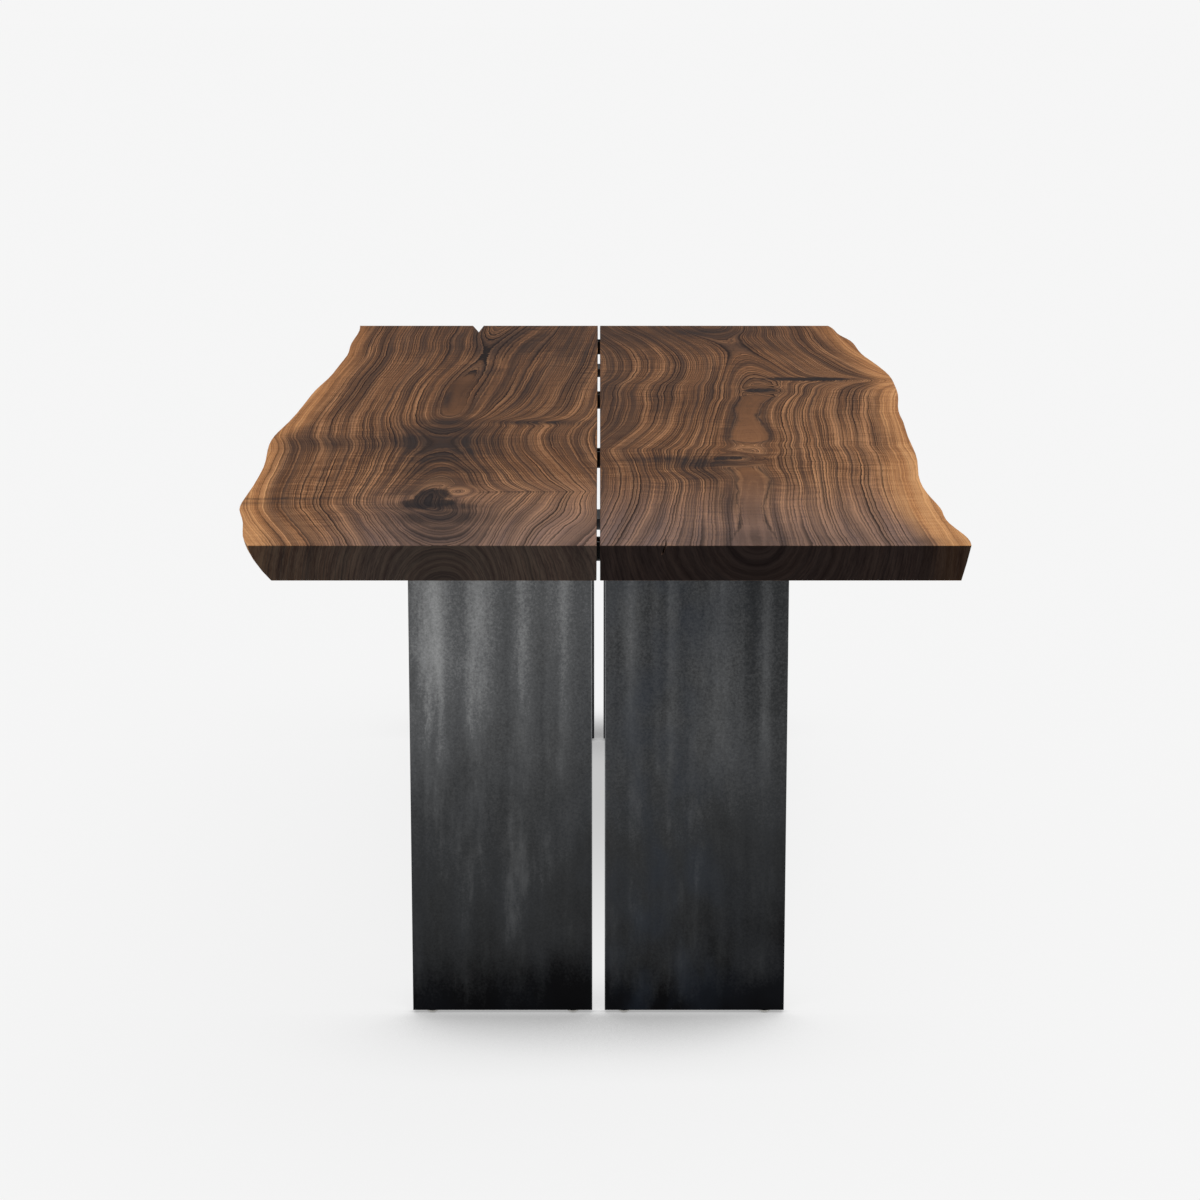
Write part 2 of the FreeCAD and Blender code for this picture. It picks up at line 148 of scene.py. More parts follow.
RIGHT_FIGURE_MM = (
    (0, 208, 26, 348, 447, 15, 37),
    (120, 210, 42, 344, 434, 15, 27),
    (280, 213, 58, 342, 422, 15, 20),
    (440, 224, 68, 346, 424, 15, 20),
    (530, 228, 69, 351, 431, 18, 26),
    (610, 225, 67, 358, 437, 22, 26),
    (660, 220, 63, 361, 441, 14, 0),
    (705, 218, 58, 362, 446, 3, 0),
    (745, 225, 54, 363, 451, 3, 0),
    (780, 231, 52, 363, 455, 12, 0),
    (830, 236, 62, 364, 460, 26, 8),
    (900, 240, 79, 368, 467, 16, 34),
    (1040, 243, 103, 377, 470, 24, 34),
    (1175, 251, 113, 382, 474, 27, 34),
    (1280, 262, 118, 391, 482, 26, 34),
    (1350, 274, 119, 397, 489, 24, 34),
    (1420, 285, 120, 406, 494, 2, 0),
    (1450, 286, 122, 411, 495, 3, 0),
    (1525, 286, 128, 441, 497, 19, 0),
    (1575, 286, 140, 473, 498, 27, 0),
    (1595, 286, 144, 466, 498, 30, 0),
    (1660, 285, 151, 433, 496, 39, 0),
    (1715, 284, 155, 421, 494, 46, 0),
    (1850, 281, 151, 400, 486, 60, 0),
    (2000, 270, 137, 382, 476, 68, 0),
    (2120, 255, 120, 374, 466, 66, 0),
    (2230, 238, 103, 369, 457, 56, 0),
    (2310, 234, 90, 366, 452, 33, 0),
    (2400, 232, 76, 362, 446, 5, 0),
)

# Pale upright streaks on the leg plates: distance from the gap's centre line, half width and share.
STREAKS_MM = (
    (-233, 24, 0.85),
    (-168, 25, 0.62),
    (-105, 14, 0.50),
    (-50, 8, 0.30),
    (47, 13, 0.45),
    (104, 9, 0.35),
    (171, 18, 0.50),
    (238, 9, 0.30),
)


class Wire:
    """A node socket. Operators on it add Math nodes, and node() adds a node of any other kind."""

    def __init__(self, tree, socket=None):
        self.tree = tree
        self.socket = socket

    def node(self, kind, settings, inputs, output=0):
        """Adds one node: its settings first, then the value or link of each socket."""
        made = self.tree.nodes.new(kind)
        for name, value in settings.items():
            if name == "stops":
                set_stops(made.color_ramp, value)
            elif name == "points":
                set_points(made.mapping, value)
            else:
                setattr(made, name, value)
        for name, value in inputs.items():
            if isinstance(value, Wire):
                self.tree.links.new(value.socket, made.inputs[name])
            else:
                made.inputs[name].default_value = value
        return Wire(self.tree, made.outputs[output])

    def math(self, operation, *values):
        return self.node("ShaderNodeMath", {"operation": operation}, dict(enumerate(values)))

    def __add__(self, other):
        return self.math("ADD", self, other)

    __radd__ = __add__

    def __sub__(self, other):
        return self.math("SUBTRACT", self, other)

    def __rsub__(self, other):
        return self.math("SUBTRACT", other, self)

    def __mul__(self, other):
        return self.math("MULTIPLY", self, other)

    __rmul__ = __mul__

    def __truediv__(self, other):
        return self.math("DIVIDE", self, other)

    def __pow__(self, power):
        return self.math("POWER", self, power)

    def __abs__(self):
        return self.math("ABSOLUTE", self)

    def __gt__(self, other):
        return self.math("GREATER_THAN", self, other)

    def step(self, low, high):
        """Eases from 0 at low to 1 at high."""
        settings = {"interpolation_type": "SMOOTHSTEP"}
        inputs = {"Value": self, "From Min": low, "From Max": high}
        return self.node("ShaderNodeMapRange", settings, inputs)


# Sockets of the Mix node that carry colours.
MIX_FIRST = 6
MIX_SECOND = 7
MIX_RESULT = 2


def set_stops(ramp_map, stops):
    """Gives a colour ramp its stops, each a place and a colour."""
    while len(ramp_map.elements) < len(stops):
        ramp_map.elements.new(1.0)
    for element, (place, colour) in zip(ramp_map.elements, stops):
        element.position = place
        element.color = (*colour, 1.0)


def set_points(mapping, points):
    """Gives a float curve its points, each a place from 0 to 1 and a value from -1 to 1."""
    mapping.clip_min_y = -1.0
    curve = mapping.curves[0]
    while len(curve.points) < len(points):
        curve.points.new(0.5, 0.0)
    for point, place in zip(curve.points, points):
        point.location = place
        point.handle_type = "AUTO_CLAMPED"
    mapping.update()


def linear(red, green, blue):
    """A colour as it is seen, from 0 to 255 a channel, as linear light by the sRGB curve."""
    seen = np.array((red, green, blue)) / 255
    light = np.where(seen <= 0.04045, seen / 12.92, ((seen + 0.055) / 1.055) ** 2.4)
    return tuple(float(channel) for channel in light)


def mix(factor, first, second):
    """A colour between two others, by a factor from 0 to 1."""
    inputs = {"Factor": factor}
    for name, colour in ((MIX_FIRST, first), (MIX_SECOND, second)):
        inputs[name] = colour if isinstance(colour, Wire) else (*colour, 1.0)
    return factor.node("ShaderNodeMix", {"data_type": "RGBA"}, inputs, MIX_RESULT)


def tint(factor, base, colour):
    """A colour drawn towards another, which is given as it is seen."""
    return mix(factor, base, linear(*colour))


def ramp(factor, stops):
    """A colour by a factor, from stops that each give a place and a colour as it is seen."""
    light = [(place, linear(*colour)) for place, colour in stops]
    return factor.node("ShaderNodeValToRGB", {"stops": light}, {"Fac": factor})


def largest(parts):
    """The greatest of several values."""
    most = parts[0]
    for part in parts[1:]:
        most = most.math("MAXIMUM", most, part)
    return most


def vector(x, y, z):
    """Three numbers as one vector; at least the first is a wire."""
    return x.node("ShaderNodeCombineXYZ", {}, {"X": x, "Y": y, "Z": z})


def noise(place, scale, detail, rough=0.5):
    """Cloudy noise from 0 to 1 around a place."""
    inputs = {"Vector": place, "Scale": scale, "Detail": detail, "Roughness": rough}
    return place.node("ShaderNodeTexNoise", {}, inputs)


def line_noise(value, scale, detail):
    """Noise from 0 to 1 of a single number."""
    inputs = {"W": value, "Scale": scale, "Detail": detail}
    return value.node("ShaderNodeTexNoise", {"noise_dimensions": "1D"}, inputs)


def grain(across, along, down, kind):
    """Stretched noise from 0 to 1: its kind has cycles a unit three ways, detail, roughness and shift."""
    (wide, long, deep), detail, rough, shift = kind
    return noise(vector(across * wide + shift, along * long, down * deep), 1.0, detail, rough)


def swing(across, along, down, kind):
    """Stretched noise about zero."""
    return grain(across, along, down, kind) - 0.5


def ring_chance(which, scale, shift):
    """A number from 0 to 1 that is the same all along one ring."""
    return line_noise(which * scale + shift, 1.0, 0.0)


def material(name):
    """A new node material: its Principled shader, and a wire to build on."""
    made = bpy.data.materials.new(name)
    made.use_nodes = True
    shader = made.node_tree.nodes["Principled BSDF"]
    return made, shader, Wire(made.node_tree)


def feed(shader, **sockets):
    """Sets the sockets of a shader: a wire is linked, a number or colour is set."""
    for name, value in sockets.items():
        socket = shader.inputs[name.replace("_", " ")]
        if isinstance(value, Wire):
            value.tree.links.new(value.socket, socket)
        else:
            socket.default_value = value


def place_of(start):
    """The point on the object and its three parts."""
    point = start.node("ShaderNodeTexCoord", {}, {}, "Object")
    parts = [point.node("ShaderNodeSeparateXYZ", {}, {"Vector": point}, axis) for axis in range(3)]
    return point, *parts


def bump(height, strength, distance):
    """A normal bent by a height."""
    inputs = {"Strength": strength, "Distance": distance, "Height": height}
    return height.node("ShaderNodeBump", {}, inputs)


# Growth field: the columns of a figure after its station, where the push to the right of the pith eases
# off, the inner share of an eye that is all its own, how far its rings start from the pith, and the edge of
# a dark knot.
FIGURE_COLUMNS = range(1, 7)
EASE_SPAN = (0.12, 0.26)
EYE_CORE = 0.5
EYE_START = 0.012
MARK_EDGE = (0.55, 1.25)


def column(along, figure, number):
    """One column of a slab's figure, in metres, as a smooth curve along the slab."""
    points = [(row[0] * MM / TABLE_LENGTH, row[number] * MM) for row in figure]
    return along.node("ShaderNodeFloatCurve", {"points": points}, {"Value": along})


def spot(x, y, centre_x, station, half_width, half_length):
    """A soft round patch, 1 in its middle and fading as a bell curve, given in mm on the slab."""
    across = (x - (centre_x + GAP_CENTRE_X_MM) * MM) / (half_width * MM)
    down = (y + (TABLE_LENGTH / 2 - station * MM)) / (half_length * MM)
    return x.math("EXPONENT", (across * across + down * down) * -1.0)


def mark(x, y, rough, centre_x, station, half_width, half_length, lean):
    """A dark knot: a leaning oval with a ragged edge, given in mm on the slab."""
    down = y + (TABLE_LENGTH / 2 - station * MM)
    across = x - (centre_x + GAP_CENTRE_X_MM) * MM - down * lean
    across = across / (half_width * MM)
    down = down / (half_length * MM)
    return 1 - (across * across + down * down + rough).step(*MARK_EDGE)


def growth_field(x, y, z, slab):
    """The distance of a point from the pith, in metres, so that its level lines are the growth lines.

    The distance across from the pith line is pushed so that one line on each side of the pith runs where
    the figure says. The pith's depth out of the surface closes the lines into arches, loops and tongues.
    """
    along = (y + TABLE_LENGTH / 2) / TABLE_LENGTH
    columns = [column(along, slab["figure"], number) for number in FIGURE_COLUMNS]
    pith, left_line, right_line, sap_line, rise, calm = columns
    from_gap = x - GAP_CENTRE_X
    side = from_gap - pith
    reach = abs(side)
    on_right = side > 0.0
    ease = 1 - slab["right_ease"] * side.step(*EASE_SPAN)
    left_push = pith - left_line - slab["left_reach"]
    right_push = (right_line - pith - slab["right_reach"]) * ease
    push = left_push + (right_push - left_push) * on_right
    span = slab["left_span"] + on_right * (slab["right_span"] - slab["left_span"])
    across = x.math("MAXIMUM", reach - push * (reach / span).step(0.0, 1.0), 0.0)
    depth = TOP_HEIGHT - z
    height = rise + depth * slab["pith_side"]
    field = (across * across + height * height) ** 0.5
    for *patch, lift in slab["knots"]:
        field = field + spot(x, y, *patch) * (lift * MM)
    for centre, station, size, stretch in slab["eyes"]:
        off = from_gap - centre * MM
        down = (y + (TABLE_LENGTH / 2 - station * MM)) / stretch
        radius = (off * off + down * down) ** 0.5
        held = 1 - radius.step(size * MM * EYE_CORE, size * MM)
        field = field + (radius + EYE_START - field) * held
    return field, calm, from_gap - sap_line


# What each slab has. First its figure, the reach of its two growth lines from the pith, the span over which
# they are pushed there, the share of that push that eases off on the right, which way the pith lies with
# depth, the sapwood's side and start, how dark the rim of the plain wood is, and the slab's middle in mm.
# Then places in mm, from the gap's centre line and along from the near end, with half width and half length.
# After these comes how far a knot lifts the field in mm, how strong a stain is, how much a mark leans or how
# much a shade darkens. An eye has its place, size and stretch along the slab. Last are the span across in
# which a painted sheen, a grey haze of reflected light, lies over the near end, and the two colours and the
# share of the end grain.
LEFT_SLAB = {
    "figure": LEFT_FIGURE_MM,
    "left_reach": 0.222,
    "right_reach": 0.130,
    "left_span": 0.20,
    "right_span": 0.13,
    "right_ease": 0.65,
    "pith_side": -1.0,
    "sap_side": -1.0,
    "sap_start": -0.014,
    "rim_share": 0.0,
    "middle": -250,
    "knots": ((-120, 1075, 60, 35, 26),),
    "eyes": ((-202, 410, 36, 1.9),),
    "stains": (
        (-216, 205, 88, 95, 1.10),
        (-212, 90, 76, 110, 0.86),
        (-222, 285, 75, 50, 1.15),
        (-262, 420, 45, 70, 0.75),
        (-238, 510, 70, 80, 0.76),
        (-205, 600, 60, 60, 0.70),
        (-240, 600, 72, 70, 0.90),
        (-250, 690, 65, 60, 0.95),
        (-240, 765, 85, 65, 1.15),
        (-262, 860, 110, 115, 1.30),
        (-250, 980, 85, 80, 1.05),
        (-245, 1070, 65, 60, 1.0),
        (-420, 860, 70, 90, 0.65),
        (-108, 1072, 80, 28, 1.10),
        (-268, 1330, 16, 150, 0.75),
        (-222, 1760, 40, 60, 0.70),
        (-215, 1690, 45, 70, 0.75),
        (-190, 2080, 95, 330, 0.55),
        (-150, 1500, 70, 420, 0.36),
        (-60, 2000, 70, 600, 0.50),
        (-440, 352, 110, 9, 0.70),
        (-470, 318, 60, 14, 0.45),
        (-120, 406, 90, 7, 0.60),
        (-420, 905, 80, 14, 0.50),
    ),
    "marks": ((-243, 316, 38, 48, 0.02), (-237, 370, 26, 68, 0.12)),
    "shades": (
        (-105, 860, 130, 400, 0.17),
        (-240, 1500, 90, 350, 0.09),
        (-190, 2150, 110, 250, 0.07),
        # The next two lighten the near end: painted light.
        (-430, 40, 90, 150, -0.15),
        (-115, 150, 70, 180, -0.10),
        (-30, 620, 60, 160, 0.08),
        (-135, 1480, 70, 220, 0.08),
    ),
    "painted_sheen_span": (-0.42, -0.27),
    "end_dark": (50, 43, 42),
    "end_light": (82, 73, 66),
    "end_share": 0.84,
}
RIGHT_SLAB = {
    "figure": RIGHT_FIGURE_MM,
    "left_reach": 0.170,
    "right_reach": 0.140,
    "left_span": 0.17,
    "right_span": 0.15,
    "right_ease": 0.0,
    "pith_side": 1.0,
    "sap_side": 1.0,
    "sap_start": -0.030,
    "rim_share": 0.42,
    "middle": 230,
    "knots": ((140, 605, 60, 70, -24),),
    "eyes": ((211, 703, 52, 1.7), (296, 1442, 46, 1.8)),
    "stains": (
        (120, 694, 95, 32, 0.95),
        (160, 664, 78, 58, 1.05),
        (205, 705, 50, 45, 0.60),
        (165, 570, 45, 120, 0.60),
        (186, 330, 24, 170, 0.70),
        (208, 40, 90, 120, 0.60),
        (214, 240, 40, 150, 0.46),
        (226, 470, 40, 120, 0.40),
        (290, 1440, 55, 60, 0.75),
        (395, 1588, 90, 18, 0.90),
        (280, 1560, 60, 70, 0.50),
        (200, 2290, 105, 90, 0.90),
        (80, 2250, 130, 160, 0.60),
        (25, 1500, 38, 800, 0.62),
        (290, 2080, 60, 60, 0.45),
        (170, 60, 60, 70, 0.40),
        (300, 40, 60, 60, 0.35),
        (430, 30, 50, 30, 0.40),
    ),
    "marks": ((198, 706, 26, 20, 0.3), (286, 1444, 28, 26, 0.3), (378, 1590, 84, 26, 0.0)),
    "shades": (
        (175, 1290, 60, 220, 0.16),
        (300, 1690, 70, 120, 0.07),
        # The next one lightens the near end: painted light.
        (318, 220, 60, 220, -0.09),
        (450, 850, 50, 350, 0.06),
        (100, 560, 110, 110, 0.07),
        (55, 1150, 60, 300, 0.05),
    ),
    "painted_sheen_span": (-0.20, -0.10),
    "end_dark": (30, 24, 24),
    "end_light": (51, 43, 41),
    "end_share": 0.93,
}


# Noises of the wood: cycles a metre across the grain or the rings, along the slab and down, then detail,
# roughness and a shift of the pattern. The fades go by the ring's number, so across they have cycles a ring.
SLOW_WAVES = ((5.0, 2.2, 5.0), 1.0, 0.5, 0.0)
QUICK_WAVES = ((20.0, 6.0, 20.0), 2.0, 0.5, 0.0)
TINY_WAVES = ((110.0, 30.0, 110.0), 2.0, 0.5, 0.0)
CROSS_RIPPLE = ((18.0, 72.0, 12.0), 3.0, 0.6, 0.0)
RING_GROUPS = ((55.0, 1.2, 3.0), 1.0, 0.5, 9.0)
RING_PATCHES = ((90.0, 6.0, 9.0), 3.0, 0.5, 0.0)
RING_FADES = ((2.7, 1.8, 3.0), 1.0, 0.5, 0.0)
THIN_FIBRES = ((900.0, 7.0, 120.0), 2.0, 0.6, 0.0)
BROAD_BANDS = ((32.0, 1.1, 4.0), 2.0, 0.5, 0.0)
STRIPES = ((125.0, 1.7, 14.0), 1.0, 0.5, 0.0)
WIDE_BANDS = ((74.0, 1.3, 9.0), 1.0, 0.5, 5.0)
CURLED_ZONES = ((4.0, 2.0, 1.0), 1.0, 0.5, 0.0)
SMEARS = ((210.0, 3.0, 20.0), 2.0, 0.5, 0.0)
PORES = ((900.0, 34.0, 900.0), 2.0, 0.5, 0.0)

# How far the waves push, in metres: the edge of the plain wood, the rings, the ripple and the stains.
EDGE_SLOW = 0.022
EDGE_QUICK = 0.020
EDGE_TINY = 0.005
RING_SLOW = 0.014
RING_QUICK = 0.006
RING_RIPPLE = 0.0016
RING_TINY = 0.0024
RIPPLE_SWAY = 3.0 / 72.0
STAIN_ACROSS = 0.03
STAIN_TINY = 0.02
STAIN_ALONG = 0.04

# Rings: how many a metre, cycles a metre and detail of what bunches them, and how many rings it moves them.
RINGS_A_METRE = 205.0
BUNCHES = (30.0, 1.0)
BUNCH_PUSH = 3.2
JITTER = (100.0, 0.0)
JITTER_SHIFT = 1.0
JITTER_PUSH = 1.2
HAIRS_A_METRE = 480.0
HAIR_BUNCHES = (90.0, 1.0)
HAIR_PUSH = 3.0

# Scale and shift of the numbers that are drawn for each ring.
LINE_DRAW = (7.31, 0.0)
BAND_DRAW = (3.77, 40.0)
HAIR_DRAW = (5.19, 0.0)

# Where a value eases from 0 to 1. Fields and places are in metres, phases and noises run from 0 to 1.
SAP_STOP = 0.020
END_FACING = (0.6, 0.8)
PITH_CLEAR = (0.015, 0.07)
CALM_EDGE = (-0.004, 0.003)
CALM_HELD = (0.010, 0.016)
BORDER_FADE = (0.004, 0.022)
BORDER_PATCH = (0.30, 0.55)
RIM_LINE_FADE = (0.003, 0.007)
RIM_LINE_PATCH = (0.3, 0.5)
GROUP_STEP = (0.34, 0.60)
RING_END = (0.95, 1.0)
LINE_RISE = (0.48, 0.88)
LINE_CHANCE = (0.16, 0.60)
LINE_PATCH = (0.16, 0.48)
BAND_RISE = (0.05, 0.75)
BAND_CHANCE = (0.38, 0.60)
BAND_FADE = (0.34, 0.60)
RIM_FALL = (0.04, 0.34)
RIM_CHANCE = (0.2, 0.60)
RIM_PATCH = (0.20, 0.50)
HAIR_RISE = (0.45, 0.9)
HAIR_END = (0.92, 1.0)
HAIR_CHANCE = (0.28, 0.62)
WIDE_STEP = (0.50, 0.60)
CURL_STEP = (0.45, 0.65)
PAINTED_SHEEN_FADE = (0.0, 0.62)
FIBRE_STEP = (0.25, 0.75)
PORE_STEP = (0.60, 0.72)

# Strength of the lines and stains, and how ragged the dark knots are.
CALM_LINES = 0.16
LINE_BASE = 0.31
LINE_GROUPED = 0.62
LINE_MIDDLE = 1.06
LINE_ALONG = 0.18
BORDER_BASE = 0.35
BORDER_SHARE = 0.62
RIM_LINE_GAIN = 0.45
RIM_LINE_END = 0.8
STAIN_BASE = 0.94
STAIN_SMEAR = 1.5
MARK_QUICK = 1.5
MARK_TINY = 1.2

# What each thing adds to the tone, which picks the colour of the wood.
TONE_BASE = 0.32
TONE_LINED = 0.135
TONE_BROAD = 0.70
TONE_THIN = 0.15
TONE_THIN_LINED = 0.35
TONE_RIPPLE = 0.34
TONE_CURLED = 0.42
RIPPLE_CALM = 0.35
TONE_BUNCH = 0.35
# Painted light: the wood lightens towards the near end and darkens towards the far end.
PAINTED_LIGHT_ALONG = 0.11
TONE_ACROSS = 0.26
TONE_TWIST = 0.20
TONE_RIM = 0.16
TONE_HAIR = 0.34
TONE_STRIPE = 0.72
HEART_STOPS = ((0.10, (66, 43, 29)), (0.42, (122, 83, 55)), (0.80, (184, 134, 94)))
SAP_STOPS = ((0.10, (122, 79, 47)), (0.42, (177, 123, 79)), (0.80, (211, 157, 106)))

# Colours laid over the wood, their share, what the sapwood takes off it, and the end grain's fibre. The
# first colour is a painted sheen, a grey haze of reflected light over the near end.
PAINTED_SHEEN_COLOUR = (124, 107, 104)
PAINTED_SHEEN_SHARE = 0.60
WIDE_COLOUR = (56, 43, 38)
WIDE_SHARE = 0.34
WIDE_SAP = 0.26
BAND_COLOUR = (58, 43, 36)
BAND_SHARE = 0.58
BAND_SAP = 0.40
LINE_COLOUR = (26, 18, 16)
LINE_SAP = 0.65
STAIN_COLOUR = (34, 28, 28)
STAIN_SHARE = 0.90
KNOT_COLOUR = (28, 23, 24)
KNOT_SHARE = 0.87
KNOT_SMEAR = 0.4
PORE_COLOUR = (44, 31, 24)
PORE_SHARE = 0.22
FIBRE_BASE = 0.2
FIBRE_THIN = 0.6
FIBRE_STRIPE = 0.8

# Relief and sheen of the wood.
PORE_HEIGHT = -0.6
LINE_HEIGHT = -0.25
THIN_HEIGHT = 0.2
WOOD_BUMP = (0.25, 0.0006)
WOOD_ROUGH = 0.60
LINE_ROUGH = 0.10
THIN_ROUGH = 0.06
WOOD_SPECULAR = 0.01


def walnut(name, slab):
    """Oiled walnut: dark growth lines along the field, a dark heart round the knots, pale sapwood."""
    made, shader, start = material(name)
    x, y, z = place_of(start)[1:]
    x = (x - GAP_CENTRE_X) / FIGURE_SHARE + GAP_CENTRE_X
    field, calm, past_sap = growth_field(x, y, z, slab)
    sap = (past_sap * slab["sap_side"]).step(slab["sap_start"], SAP_STOP)
    normal = start.node("ShaderNodeNewGeometry", {}, {}, "True Normal")
    facing = normal.node("ShaderNodeSeparateXYZ", {}, {"Vector": normal}, "Y")
    end = abs(facing).step(*END_FACING)

    slow = swing(x, y, z, SLOW_WAVES)
    quick = swing(x, y, z, QUICK_WAVES)
    tiny = swing(x, y, z, TINY_WAVES)
    ripple = swing(x, y + quick * RIPPLE_SWAY, z, CROSS_RIPPLE)
    away = field.step(*PITH_CLEAR)
    beyond = field - calm + slow * EDGE_SLOW + quick * EDGE_QUICK + tiny * EDGE_TINY
    lined = beyond.step(*CALM_EDGE)
    held = calm.step(*CALM_HELD) * lined
    border = held * (1 - beyond.step(*BORDER_FADE))
    rim_line = held * (1 - beyond.step(*RIM_LINE_FADE))
    rings = field + (slow * RING_SLOW + quick * RING_QUICK) * away
    rings = rings + ripple * RING_RIPPLE + tiny * RING_TINY

    bunch = line_noise(rings, *BUNCHES)
    jitter = line_noise(rings + JITTER_SHIFT, *JITTER)
    count = rings * RINGS_A_METRE + bunch * BUNCH_PUSH + jitter * JITTER_PUSH
    phase = count.math("FRACT", count)
    which = count.math("FLOOR", count)
    chance = ring_chance(which, *LINE_DRAW)
    other = ring_chance(which, *BAND_DRAW)
    group = grain(rings, y, z, RING_GROUPS).step(*GROUP_STEP)
    patchy = grain(rings, y, z, RING_PATCHES)
    fade = grain(which, y, z, RING_FADES)
    past = 1 - phase.step(*RING_END)
    drawn = CALM_LINES + (1 - CALM_LINES) * lined
    line = phase.step(*LINE_RISE) * past * chance.step(*LINE_CHANCE) * patchy.step(*LINE_PATCH) * drawn
    line = line * (LINE_BASE + LINE_GROUPED * group) * (LINE_MIDDLE + LINE_ALONG * y)
    band = phase.step(*BAND_RISE) * past * other.step(*BAND_CHANCE) * fade.step(*BAND_FADE) * lined
    rim = (1 - phase.step(*RIM_FALL)) * chance.step(*RIM_CHANCE) * patchy.step(*RIM_PATCH) * lined

    hairs = rings * HAIRS_A_METRE + line_noise(rings, *HAIR_BUNCHES) * HAIR_PUSH
    hair_phase = hairs.math("FRACT", hairs)
    hair_chance = ring_chance(hairs.math("FLOOR", hairs), *HAIR_DRAW)
    hair = hair_phase.step(*HAIR_RISE) * (1 - hair_phase.step(*HAIR_END))
    hair = hair * hair_chance.step(*HAIR_CHANCE) * lined
    thin = grain(rings, y, z, THIN_FIBRES)
    broad = swing(rings, y, z, BROAD_BANDS)
    stripe = swing(rings, y, z, STRIPES)
    smear = swing(rings, y, z, SMEARS)
    wide = grain(rings, y, z, WIDE_BANDS).step(*WIDE_STEP) * lined
    curled = grain(x, y, z, CURLED_ZONES).step(*CURL_STEP)

    stain_x = x + quick * STAIN_ACROSS + tiny * STAIN_TINY
    stain_y = y + quick * STAIN_ALONG
    stains = [spot(stain_x, stain_y, *patch) * strength for *patch, strength in slab["stains"]]
    stains.append(border * (BORDER_BASE + (1 - BORDER_BASE) * fade.step(*BORDER_PATCH)) * BORDER_SHARE)
    rim_share = slab["rim_share"] + RIM_LINE_GAIN * patchy.step(*RIM_LINE_PATCH)
    stains.append(rim_line * rim_share * (1 - RIM_LINE_END * end))
    stain = largest(stains)
    stain = stain.math("MINIMUM", stain, 1.0) * (STAIN_BASE + smear * STAIN_SMEAR)
    stain = stain.math("MINIMUM", stain, 1.0)
    knot = largest([mark(x, y, quick * MARK_QUICK + tiny * MARK_TINY, *place) for place in slab["marks"]])

    tone = TONE_BASE + TONE_LINED * lined + broad * TONE_BROAD
    tone = tone + (thin - 0.5) * (TONE_THIN + TONE_THIN_LINED * lined)
    tone = tone + ripple * (TONE_RIPPLE + TONE_CURLED * curled) * (RIPPLE_CALM + (1 - RIPPLE_CALM) * lined)
    across = x - slab["middle"] * MM
    # The term along y is painted light, lighter towards the near end.
    tone = tone + (bunch - 0.5) * TONE_BUNCH - y * PAINTED_LIGHT_ALONG + across * (TONE_ACROSS - y * TONE_TWIST)
    tone = tone + rim * TONE_RIM - hair * TONE_HAIR + stripe * TONE_STRIPE * lined
    for *patch, darker in slab["shades"]:
        tone = tone - spot(x, y, *patch) * darker

    # Painted sheen: a grey haze of reflected light laid over the near end of the slab.
    near = (1 - (y + TABLE_LENGTH / 2).step(*PAINTED_SHEEN_FADE)) * x.step(*slab["painted_sheen_span"])
    wood = tint(near * PAINTED_SHEEN_SHARE, ramp(tone, HEART_STOPS), PAINTED_SHEEN_COLOUR)
    wood = mix(sap, wood, ramp(tone, SAP_STOPS))
    wood = tint(wide * (WIDE_SHARE - WIDE_SAP * sap), wood, WIDE_COLOUR)
    wood = tint(band * (BAND_SHARE - BAND_SAP * sap), wood, BAND_COLOUR)
    wood = tint(line * (1.0 - LINE_SAP * sap), wood, LINE_COLOUR)
    wood = tint(stain * STAIN_SHARE, wood, STAIN_COLOUR)
    wood = tint(knot * (KNOT_SHARE + smear * KNOT_SMEAR), wood, KNOT_COLOUR)
    fibre = (thin * FIBRE_THIN + stripe * FIBRE_STRIPE + FIBRE_BASE).step(*FIBRE_STEP)
    end_wood = tint(fibre, linear(*slab["end_dark"]), slab["end_light"])
    wood = mix(end * slab["end_share"], wood, end_wood)
    pore = grain(x, y, z, PORES).step(*PORE_STEP)
    wood = tint(pore * PORE_SHARE, wood, PORE_COLOUR)

    height = pore * PORE_HEIGHT + line * LINE_HEIGHT + thin * THIN_HEIGHT
    feed(
        shader,
        Base_Color=wood,
        Roughness=WOOD_ROUGH + LINE_ROUGH * line + THIN_ROUGH * thin,
        Normal=bump(height, *WOOD_BUMP),
        Specular_IOR_Level=WOOD_SPECULAR,
    )
    return made


# Noises of the leg plates, as for the wood.
PLATE_CLOUDS = ((5.0, 5.0, 3.5), 4.0, 0.55, 0.0)
PLATE_SMOKE = ((16.0, 16.0, 9.0), 3.0, 0.5, 0.0)
PLATE_RAGS = ((70.0, 70.0, 16.0), 3.0, 0.65, 0.0)
PLATE_UPRIGHTS = ((34.0, 34.0, 1.2), 2.0, 0.5, 0.0)
PLATE_MOTTLE = ((320.0, 320.0, 320.0), 3.0, 0.7, 0.0)

# Where the zones of the plates start and end, in metres, or in noise where a name says so.
UPPER_HEIGHTS = (0.24, 0.56)
SCUFF_NOISE = (0.02, 0.34)
RIGHT_X = (-0.05, 0.08)
# The foot is painted shade along the bottom of the plates.
FOOT_SHADE_HEIGHTS = (0.0, 0.10)
FOOT_SHADE_LEFT_X = (-0.20, -0.02)
# The edge strip is a painted highlight along the plates' inner edges.
EDGE_HIGHLIGHT_WIDTHS = (0.0006, 0.0022)
LOW_RIGHT_X = (0.06, 0.22)
LOW_RIGHT_RISE = (0.04, 0.12)
LOW_RIGHT_FALL = (0.18, 0.38)
RIGHT_TOP_HEIGHTS = (0.36, 0.66)
BLUE_NOISE = (0.36, 0.66)
BLUE_X = (0.08, 0.22)

